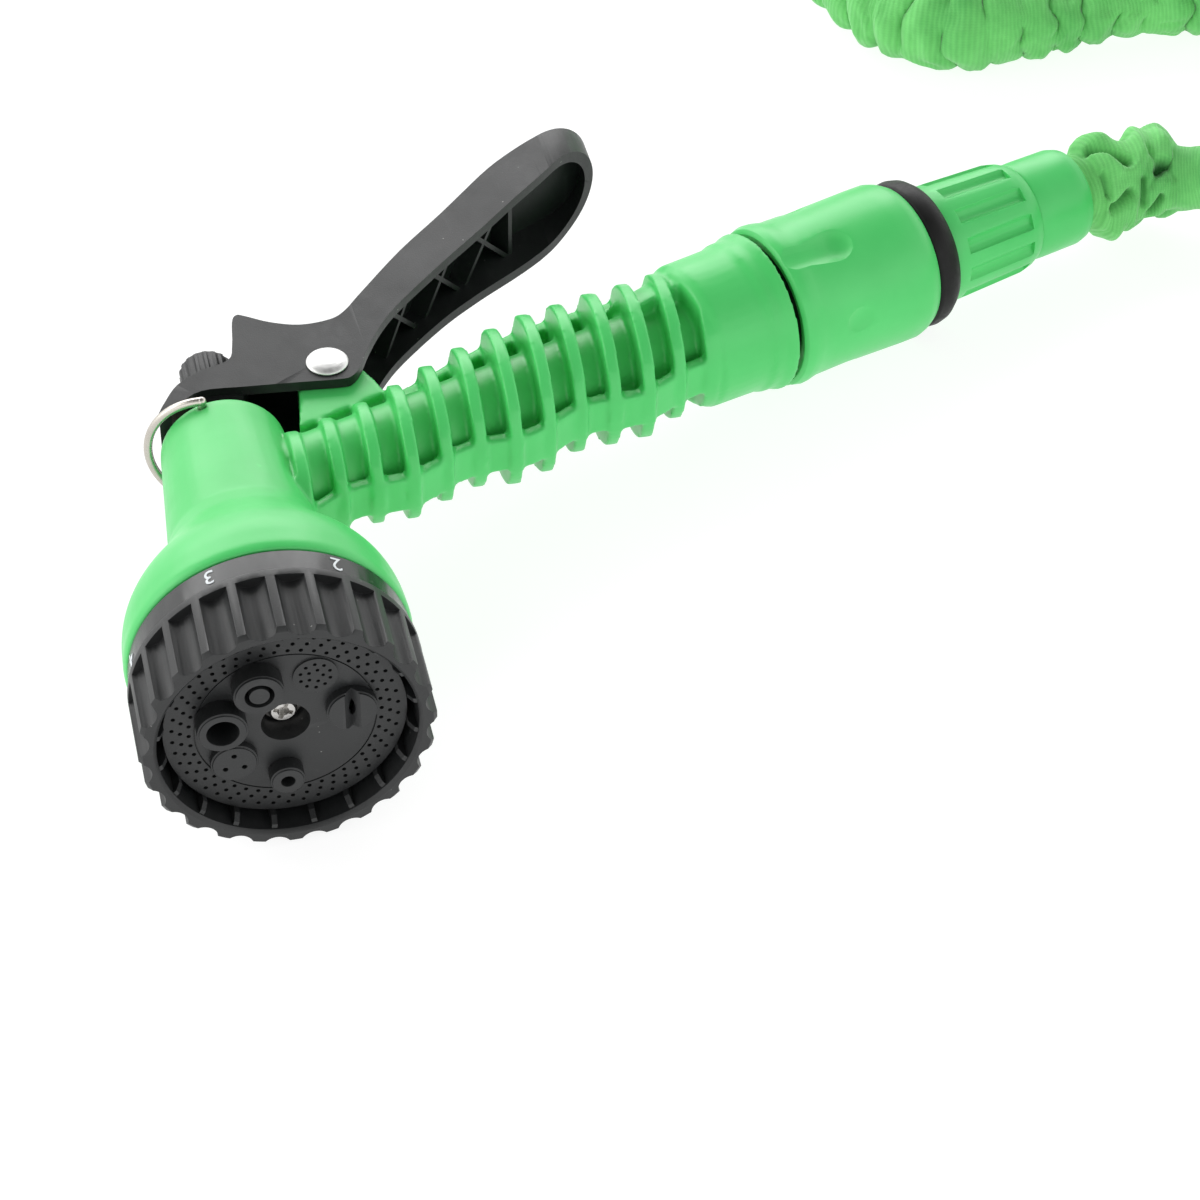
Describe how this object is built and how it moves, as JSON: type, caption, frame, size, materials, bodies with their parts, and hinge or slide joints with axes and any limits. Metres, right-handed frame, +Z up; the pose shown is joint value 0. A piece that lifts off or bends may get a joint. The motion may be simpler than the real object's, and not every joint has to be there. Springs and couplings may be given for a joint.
{
  "type": "hose spray gun",
  "caption": "Pistol-grip garden hose spray gun with a pattern dial, trigger and wire lock, on the quick connector of a gathered fabric hose that ends in a tap nut.",
  "frame": {"origin": "on the surface the gun lies on, under the middle of the gun and connector's box (the hose's cord nodes left out)", "axes": "+X from the spray dial towards the hose, +Y from the dial's face back to the trigger, +Z up from the surface"},
  "size_m": [0.5468, 0.323, 0.0622],
  "materials": {
    "green_plastic": "satin moulded ABS",
    "black_plastic": "fine satin texture",
    "rubber": "smooth matt",
    "steel": "bright, lightly brushed",
    "nickel_wire": "nickel-plated wire",
    "brass": "turned",
    "ivory_plastic": "acetal",
    "hose_fabric": "gathered polyester weave",
    "tie_fabric": "woven strap"
  },
  "bodies": {
    "gun": {"gun_body": "green_plastic", "port_seal": "rubber", "seal_spring": "steel", "detent_ball": "steel", "detent_spring": "steel", "dial_washer": "steel", "dial_screw": "steel", "valve_spring": "steel", "stem_o_ring": "rubber", "gland_nut": "black_plastic", "lever_rivet": "steel", "inlet_spigot": "green_plastic", "spigot_o_ring": "rubber", "connector_body": "black_plastic", "connector_seal": "rubber", "locking_claws": "ivory_plastic", "sleeve_spring": "steel", "hose_nut": "green_plastic", "hose_collar": "green_plastic", "hose_run": "hose_fabric", "hose_coil": "hose_fabric", "hose_tail": "hose_fabric", "hose_tie": "tie_fabric", "tap_collar": "green_plastic", "tap_nut": "green_plastic", "tap_washer": "rubber"},
    "dial": {"dial_ring": "black_plastic", "spray_plate": "black_plastic", "selector_disc": "black_plastic", "flat_tip": "black_plastic", "soaker_disc": "black_plastic", "cone_tip": "black_plastic", "stream_tip": "black_plastic", "mist_disc": "black_plastic", "jet_tip": "black_plastic"},
    "trigger": {"lever": "black_plastic"},
    "stem": {"valve_stem": "brass", "valve_plunger": "black_plastic", "valve_washer": "rubber"},
    "knob": {"flow_knob": "black_plastic"},
    "lock": {"lock_wire": "nickel_wire"},
    "sleeve": {"connector_sleeve": "green_plastic", "sleeve_bumper": "rubber"}
  },
  "joints": [
    {"name": "dial_turn", "type": "hinge", "parent": "gun", "child": "dial", "pos_m": [-0.09474, -0.082, 0.0311], "axis": [0, 1, 0], "continuous": true},
    {"name": "trigger_squeeze", "type": "hinge", "parent": "gun", "child": "trigger", "pos_m": [-0.06841, 0.0137, 0.02923], "axis": [0.0707, 0, 0.9975], "range_deg": [-16, 0], "stiffness_Nm_per_rad": 2, "springref_deg": 8.59},
    {"name": "stem_slide", "type": "slide", "parent": "gun", "child": "stem", "axis": [0, 1, 0], "range_m": [0, 0.0075], "deforming": ["valve_spring"]},
    {"name": "flow_turn", "type": "hinge", "parent": "stem", "child": "knob", "pos_m": [-0.09474, 0.021, 0.0311], "axis": [0, 1, 0], "range_deg": [0, 720]},
    {"name": "lock_swing", "type": "hinge", "parent": "gun", "child": "lock", "pos_m": [-0.09873, -0.0006, 0.03138], "axis": [0.0707, 0, 0.9975], "range_deg": [0, 34]},
    {"name": "sleeve_pull", "type": "slide", "parent": "gun", "child": "sleeve", "axis": [0.9462, 0.3165, -0.067], "range_m": [0, 0.004], "stiffness_N_per_m": 800, "springref_m": -0.004, "deforming": ["sleeve_spring"]}
  ],
  "couplings": [
    {"joint": "stem_slide", "follows": "trigger_squeeze", "m_per_rad": -0.026408}
  ]
}
